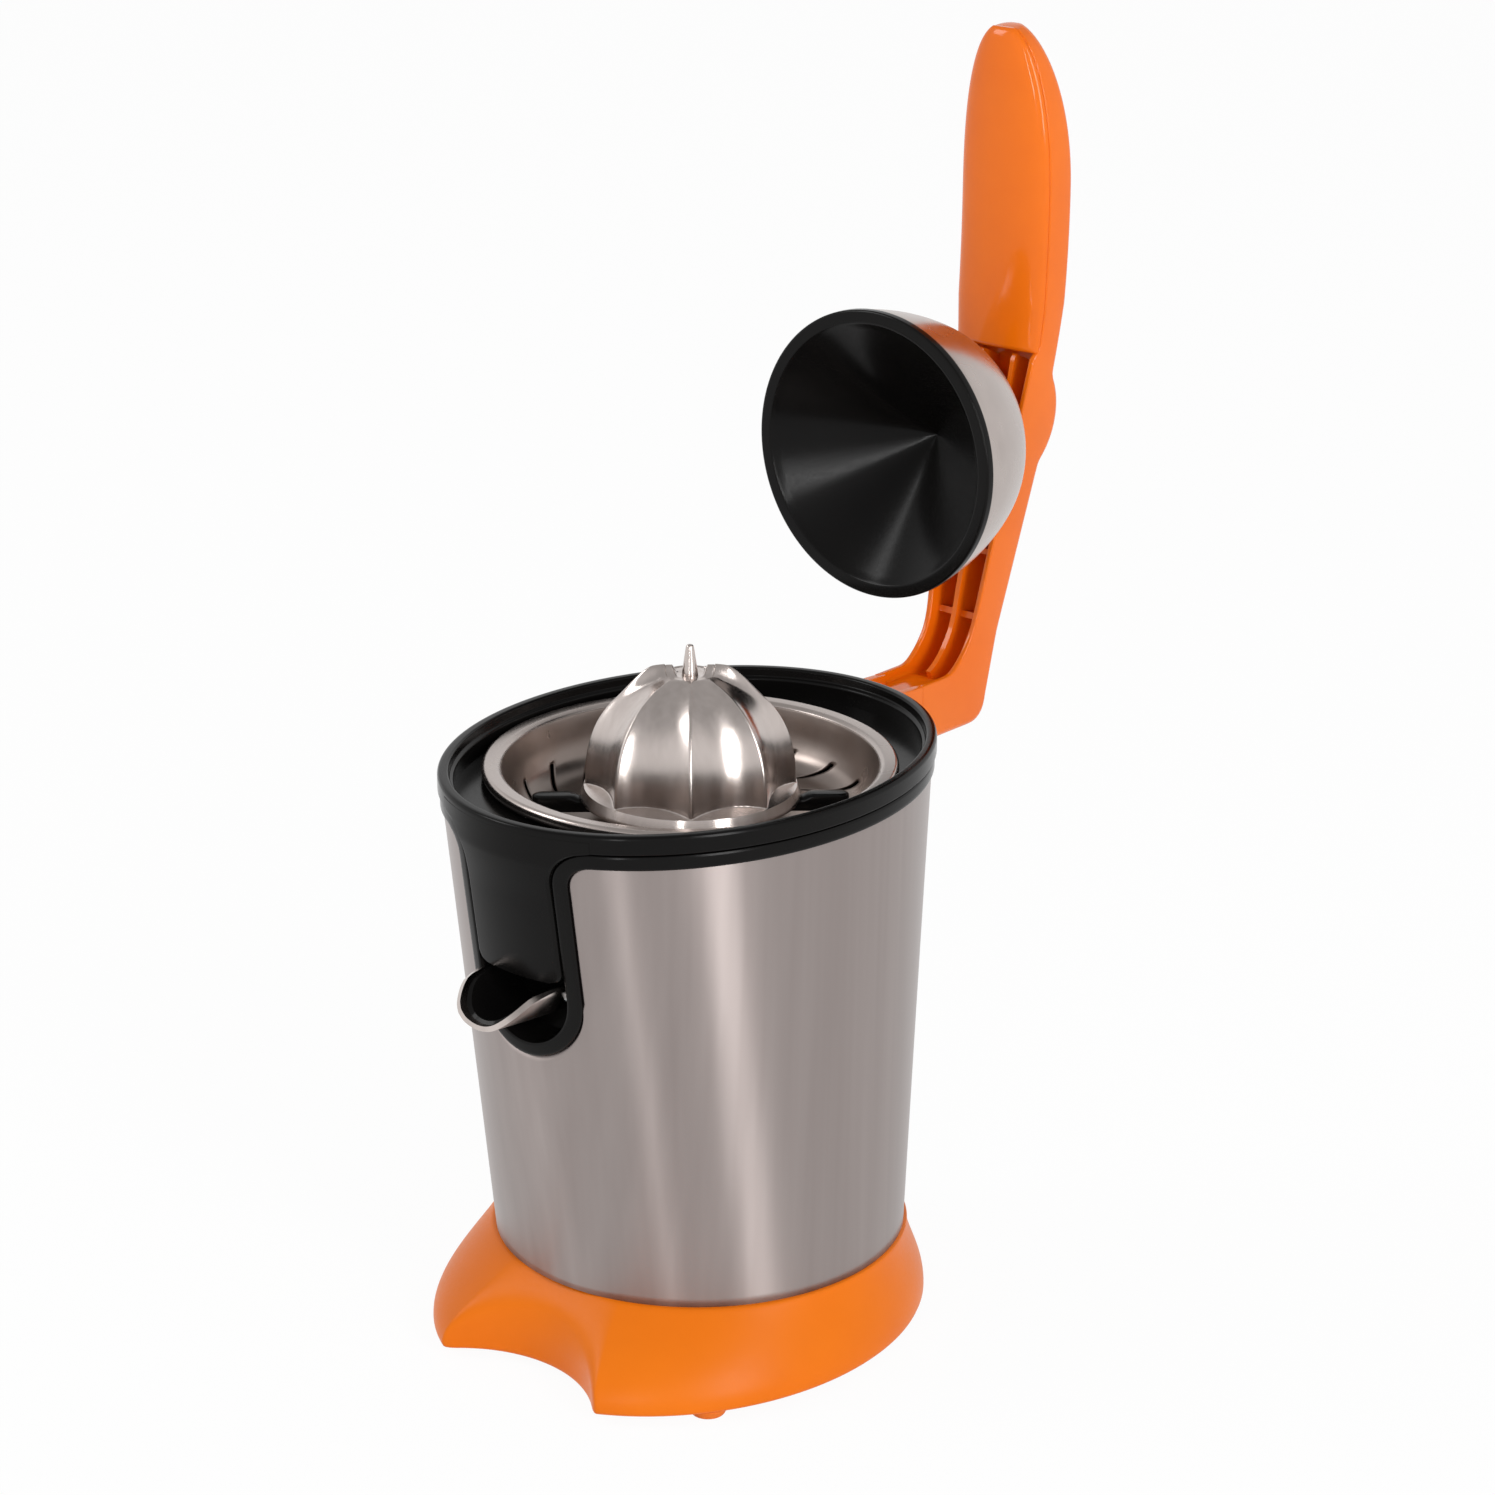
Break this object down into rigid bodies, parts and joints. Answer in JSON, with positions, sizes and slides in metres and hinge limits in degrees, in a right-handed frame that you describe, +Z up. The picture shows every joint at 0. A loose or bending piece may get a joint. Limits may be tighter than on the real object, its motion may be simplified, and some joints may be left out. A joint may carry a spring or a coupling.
{
  "type": "lever citrus press",
  "caption": "Electric citrus press with an oval steel body, fluted reamer in a strainer bowl, tilting spout and a cranked lever that swings a press cone over the reamer.",
  "frame": {"origin": "on the table under the middle of the press's bounding box, lever raised", "axes": "+Z up, spout towards -Y, lever hinge towards +Y, +X to the right seen from the spout"},
  "size_m": [0.17, 0.299, 0.4475],
  "materials": {
    "orange_plastic": "glossy moulded",
    "black_plastic": "glossy moulded",
    "brushed_steel": "vertical brush",
    "polished_steel": "polished",
    "dark_plastic": "plain moulded",
    "grey_plastic": "plain moulded",
    "white_plastic": "machined acetal",
    "rubber": "orange tinted",
    "black_rubber": "plain",
    "zinc_steel": "zinc plated",
    "motor_iron": "laminated",
    "bronze": "sintered"
  },
  "bodies": {
    "base": {"base_skirt": "orange_plastic", "base_plate": "dark_plastic", "rubber_feet": "rubber", "base_screws": "zinc_steel", "cord_gland": "black_rubber", "body_sleeve": "brushed_steel", "collar_trim": "black_plastic", "juice_collector": "black_plastic", "strainer_bowl": "polished_steel", "spindle_bush": "bronze", "shaft_seal": "black_rubber", "press_spring": "zinc_steel", "start_switch": "dark_plastic", "idler_axle": "zinc_steel", "motor_can": "zinc_steel", "motor_stator": "motor_iron", "motor_bearings": "bronze", "motor_screws": "zinc_steel", "lower_gear_plate": "grey_plastic", "upper_gear_plate": "grey_plastic", "plate_spacers": "grey_plastic", "plate_screws": "zinc_steel", "inner_frame": "grey_plastic", "spout_pins": "zinc_steel", "hinge_bracket": "zinc_steel", "bracket_screws": "zinc_steel", "hinge_pin": "zinc_steel"},
    "lever": {"lever_arm": "orange_plastic", "handle_cover": "orange_plastic", "boss_cap": "orange_plastic", "dome_screw": "zinc_steel", "press_dome": "brushed_steel", "press_liner": "black_plastic", "dome_hub": "dark_plastic"},
    "press_collar": {"thrust_collar": "white_plastic"},
    "reamer": {"reamer_cone": "polished_steel", "reamer_pin": "polished_steel", "reamer_hub": "dark_plastic", "strainer_wiper": "black_plastic", "drive_spindle": "zinc_steel", "output_gear": "white_plastic"},
    "idler": {"idler_gear": "white_plastic"},
    "motor": {"motor_rotor": "motor_iron", "motor_pinion": "bronze", "cooling_fan": "grey_plastic"},
    "spout": {"spout_shell": "polished_steel", "spout_liner": "black_plastic"}
  },
  "joints": [
    {"name": "lever_hinge", "type": "hinge", "parent": "base", "child": "lever", "pos_m": [0, 0.0637, 0.2052], "axis": [1, 0, 0], "range_deg": [0, 72]},
    {"name": "reamer_press", "type": "slide", "parent": "base", "child": "press_collar", "axis": [0, 0, -1], "range_m": [0, 0.002], "stiffness_N_per_m": 2500, "springref_m": -0.006, "deforming": ["press_spring"]},
    {"name": "reamer_spin", "type": "hinge", "parent": "press_collar", "child": "reamer", "pos_m": [0, -0.0411, 0.2], "axis": [0, 0, 1], "continuous": true},
    {"name": "idler_spin", "type": "hinge", "parent": "base", "child": "idler", "pos_m": [0.02316, -0.01794, 0.11], "axis": [0, 0, 1], "continuous": true},
    {"name": "motor_spin", "type": "hinge", "parent": "base", "child": "motor", "pos_m": [0, -0.0411, 0.07], "axis": [0, 0, 1], "continuous": true},
    {"name": "spout_tilt", "type": "hinge", "parent": "base", "child": "spout", "pos_m": [0, -0.1226, 0.1518], "axis": [-1, 0, 0], "range_deg": [0, 15]}
  ],
  "couplings": [
    {"joint": "idler_spin", "follows": "motor_spin", "ratio": -0.3},
    {"joint": "reamer_spin", "follows": "motor_spin", "ratio": 0.09}
  ]
}
